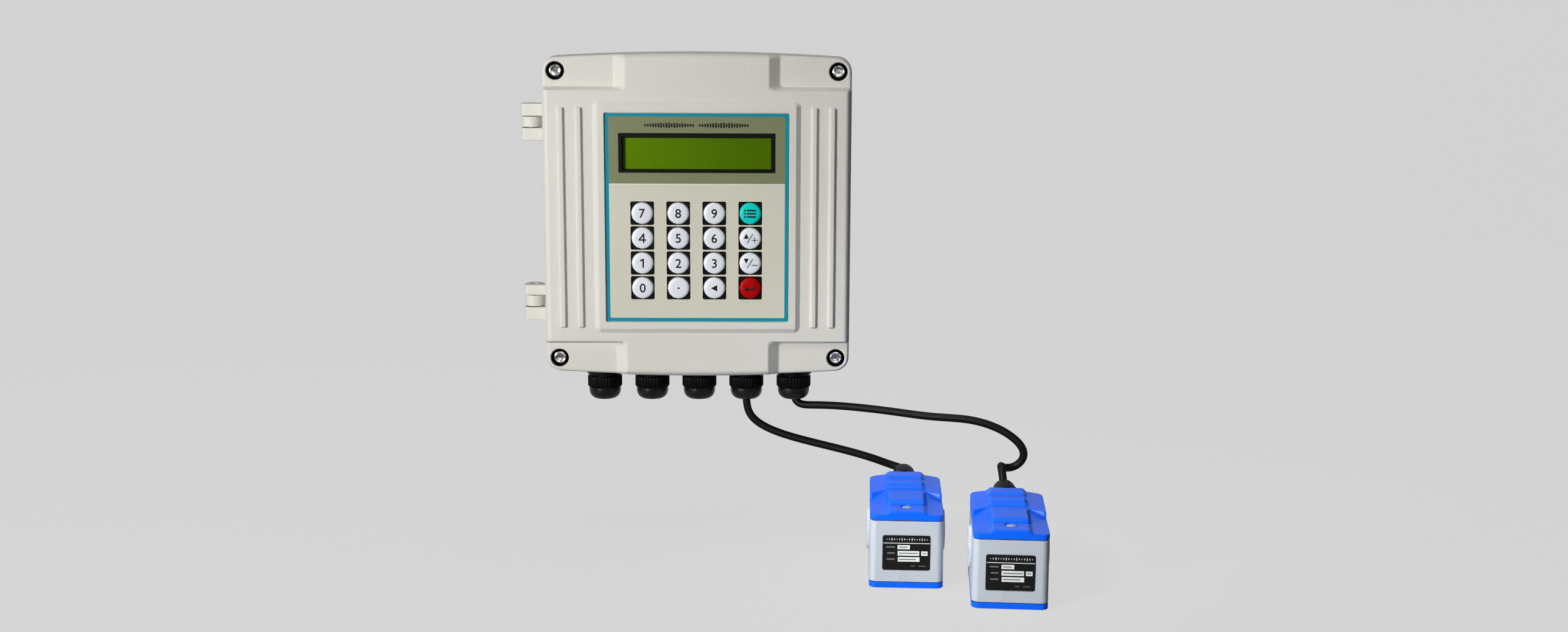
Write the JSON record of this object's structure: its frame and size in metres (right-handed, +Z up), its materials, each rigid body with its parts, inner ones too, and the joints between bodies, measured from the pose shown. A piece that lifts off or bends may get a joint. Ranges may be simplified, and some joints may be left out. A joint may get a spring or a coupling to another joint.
{
  "type": "ultrasonic flow converter with clamp-on transducers",
  "caption": "Wall-mount ultrasonic flow converter: hinged-lid die-cast box with display, keypad and cable glands, wired to clamp-on block transducers.",
  "frame": {"origin": "centre of the converter's flat rear face, on the wall plane", "axes": "+X to the right seen from the front, +Z up, -Y out of the wall towards the viewer, so +Y is the rear face's outward normal"},
  "size_m": [0.2828, 0.174, 0.2735],
  "materials": {
    "cast_paint": "fine textured powder coat, warm light grey",
    "seal_rubber": "matt black",
    "steel": "bright plated steel",
    "overlay_film": "fine matt film, cream and olive print",
    "black_plastic": "black moulded plastic",
    "board_green": "solder mask green",
    "key_white": "white key caps with black digits",
    "key_teal": "teal key cap",
    "key_red": "red key cap",
    "clear_window": "clear",
    "display_green": "yellow-green liquid crystal panel, lit",
    "terminal_green": "green terminal body",
    "ribbon_grey": "grey flat cable",
    "gland_black": "black polyamide, fine ribs",
    "sensor_grey": "light blue-grey moulded plastic",
    "sensor_blue": "bright blue moulded plastic",
    "label_black": "black label plate",
    "piezo_ceramic": "off-white ceramic",
    "cable_black": "black sheath"
  },
  "bodies": {
    "base": {"base_housing": "cast_paint", "hinge_pin_upper": "steel", "hinge_pin_lower": "steel", "main_board": "board_green", "terminal_block": "terminal_green", "ribbon_cable": "ribbon_grey", "gland_body_1": "gland_black", "gland_body_2": "gland_black", "gland_body_3": "gland_black", "gland_body_4": "gland_black", "gland_body_5": "gland_black", "sensor_a_housing": "sensor_grey", "sensor_a_cover": "sensor_blue", "sensor_a_coupling_shoe": "sensor_blue", "sensor_a_piezo_disc": "piezo_ceramic", "sensor_a_label_plate": "label_black", "sensor_a_cable": "cable_black", "sensor_b_housing": "sensor_grey", "sensor_b_cover": "sensor_blue", "sensor_b_coupling_shoe": "sensor_blue", "sensor_b_piezo_disc": "piezo_ceramic", "sensor_b_label_plate": "label_black", "sensor_b_cable": "cable_black"},
    "lid": {"lid": "cast_paint", "lid_seal": "seal_rubber", "front_overlay": "overlay_film", "keypad_frame": "black_plastic", "keypad_board": "board_green", "display_window": "clear_window", "display_panel": "display_green", "display_bezel": "black_plastic"},
    "gland_nut_1": {"gland_nut_1": "gland_black"},
    "gland_nut_2": {"gland_nut_2": "gland_black"},
    "gland_nut_3": {"gland_nut_3": "gland_black"},
    "gland_nut_4": {"gland_nut_4": "gland_black"},
    "gland_nut_5": {"gland_nut_5": "gland_black"},
    "key_0": {"key_0": "key_white"},
    "key_1": {"key_1": "key_white"},
    "key_2": {"key_2": "key_white"},
    "key_3": {"key_3": "key_white"},
    "key_4": {"key_4": "key_white"},
    "key_5": {"key_5": "key_white"},
    "key_6": {"key_6": "key_white"},
    "key_7": {"key_7": "key_white"},
    "key_8": {"key_8": "key_white"},
    "key_9": {"key_9": "key_white"},
    "key_dot": {"key_dot": "key_white"},
    "key_down": {"key_down": "key_white"},
    "key_enter": {"key_enter": "key_red"},
    "key_left": {"key_left": "key_white"},
    "key_menu": {"key_menu": "key_teal"},
    "key_up": {"key_up": "key_white"},
    "lid_screw_1": {"lid_screw_1": "steel"},
    "lid_screw_2": {"lid_screw_2": "steel"},
    "lid_screw_3": {"lid_screw_3": "steel"},
    "lid_screw_4": {"lid_screw_4": "steel"},
    "sensor_a_cover_screw": {"sensor_a_cover_screw": "steel"},
    "sensor_a_gland": {"sensor_a_gland": "gland_black"},
    "sensor_b_cover_screw": {"sensor_b_cover_screw": "steel"},
    "sensor_b_gland": {"sensor_b_gland": "gland_black"}
  },
  "joints": [
    {"name": "lid_hinge", "type": "hinge", "parent": "base", "child": "lid", "pos_m": [-0.0919, -0.0363, 0], "axis": [0, 0, -1], "range_deg": [0, 120], "deforming": ["ribbon_cable"]},
    {"name": "key_7_press", "type": "slide", "parent": "lid", "child": "key_7", "axis": [0, 1, 0], "range_m": [0, 0.0005]},
    {"name": "key_8_press", "type": "slide", "parent": "lid", "child": "key_8", "axis": [0, 1, 0], "range_m": [0, 0.0005]},
    {"name": "key_9_press", "type": "slide", "parent": "lid", "child": "key_9", "axis": [0, 1, 0], "range_m": [0, 0.0005]},
    {"name": "key_menu_press", "type": "slide", "parent": "lid", "child": "key_menu", "axis": [0, 1, 0], "range_m": [0, 0.0005]},
    {"name": "key_4_press", "type": "slide", "parent": "lid", "child": "key_4", "axis": [0, 1, 0], "range_m": [0, 0.0005]},
    {"name": "key_5_press", "type": "slide", "parent": "lid", "child": "key_5", "axis": [0, 1, 0], "range_m": [0, 0.0005]},
    {"name": "key_6_press", "type": "slide", "parent": "lid", "child": "key_6", "axis": [0, 1, 0], "range_m": [0, 0.0005]},
    {"name": "key_up_press", "type": "slide", "parent": "lid", "child": "key_up", "axis": [0, 1, 0], "range_m": [0, 0.0005]},
    {"name": "key_1_press", "type": "slide", "parent": "lid", "child": "key_1", "axis": [0, 1, 0], "range_m": [0, 0.0005]},
    {"name": "key_2_press", "type": "slide", "parent": "lid", "child": "key_2", "axis": [0, 1, 0], "range_m": [0, 0.0005]},
    {"name": "key_3_press", "type": "slide", "parent": "lid", "child": "key_3", "axis": [0, 1, 0], "range_m": [0, 0.0005]},
    {"name": "key_down_press", "type": "slide", "parent": "lid", "child": "key_down", "axis": [0, 1, 0], "range_m": [0, 0.0005]},
    {"name": "key_0_press", "type": "slide", "parent": "lid", "child": "key_0", "axis": [0, 1, 0], "range_m": [0, 0.0005]},
    {"name": "key_dot_press", "type": "slide", "parent": "lid", "child": "key_dot", "axis": [0, 1, 0], "range_m": [0, 0.0005]},
    {"name": "key_left_press", "type": "slide", "parent": "lid", "child": "key_left", "axis": [0, 1, 0], "range_m": [0, 0.0005]},
    {"name": "key_enter_press", "type": "slide", "parent": "lid", "child": "key_enter", "axis": [0, 1, 0], "range_m": [0, 0.0005]},
    {"name": "lid_screw_1_back_out", "type": "slide", "parent": "lid", "child": "lid_screw_1", "axis": [0, -1, 0], "range_m": [0, 0.006]},
    {"name": "lid_screw_2_back_out", "type": "slide", "parent": "lid", "child": "lid_screw_2", "axis": [0, -1, 0], "range_m": [0, 0.006]},
    {"name": "lid_screw_3_back_out", "type": "slide", "parent": "lid", "child": "lid_screw_3", "axis": [0, -1, 0], "range_m": [0, 0.006]},
    {"name": "lid_screw_4_back_out", "type": "slide", "parent": "lid", "child": "lid_screw_4", "axis": [0, -1, 0], "range_m": [0, 0.006]},
    {"name": "gland_nut_1_turn", "type": "hinge", "parent": "base", "child": "gland_nut_1", "pos_m": [-0.0542, -0.025, -0.098], "axis": [0, 0, 1], "continuous": true},
    {"name": "gland_nut_2_turn", "type": "hinge", "parent": "base", "child": "gland_nut_2", "pos_m": [-0.027, -0.025, -0.098], "axis": [0, 0, 1], "continuous": true},
    {"name": "gland_nut_3_turn", "type": "hinge", "parent": "base", "child": "gland_nut_3", "pos_m": [0, -0.025, -0.098], "axis": [0, 0, 1], "continuous": true},
    {"name": "gland_nut_4_turn", "type": "hinge", "parent": "base", "child": "gland_nut_4", "pos_m": [0.027, -0.025, -0.098], "axis": [0, 0, 1], "continuous": true},
    {"name": "gland_nut_5_turn", "type": "hinge", "parent": "base", "child": "gland_nut_5", "pos_m": [0.0542, -0.025, -0.098], "axis": [0, 0, 1], "continuous": true},
    {"name": "sensor_a_gland_turn", "type": "hinge", "parent": "base", "child": "sensor_a_gland", "pos_m": [0.11517, -0.07013, -0.1455], "axis": [0.061, 0.9981, 0], "continuous": true},
    {"name": "sensor_a_cover_screw_turn", "type": "hinge", "parent": "base", "child": "sensor_a_cover_screw", "pos_m": [0.11148, -0.13052, -0.1432], "axis": [0, 0, 1], "continuous": true},
    {"name": "sensor_b_gland_turn", "type": "hinge", "parent": "base", "child": "sensor_b_gland", "pos_m": [0.16702, -0.1028, -0.1455], "axis": [0.0924, 0.9957, 0], "continuous": true},
    {"name": "sensor_b_cover_screw_turn", "type": "hinge", "parent": "base", "child": "sensor_b_cover_screw", "pos_m": [0.16143, -0.16304, -0.1432], "axis": [0, 0, 1], "continuous": true}
  ]
}
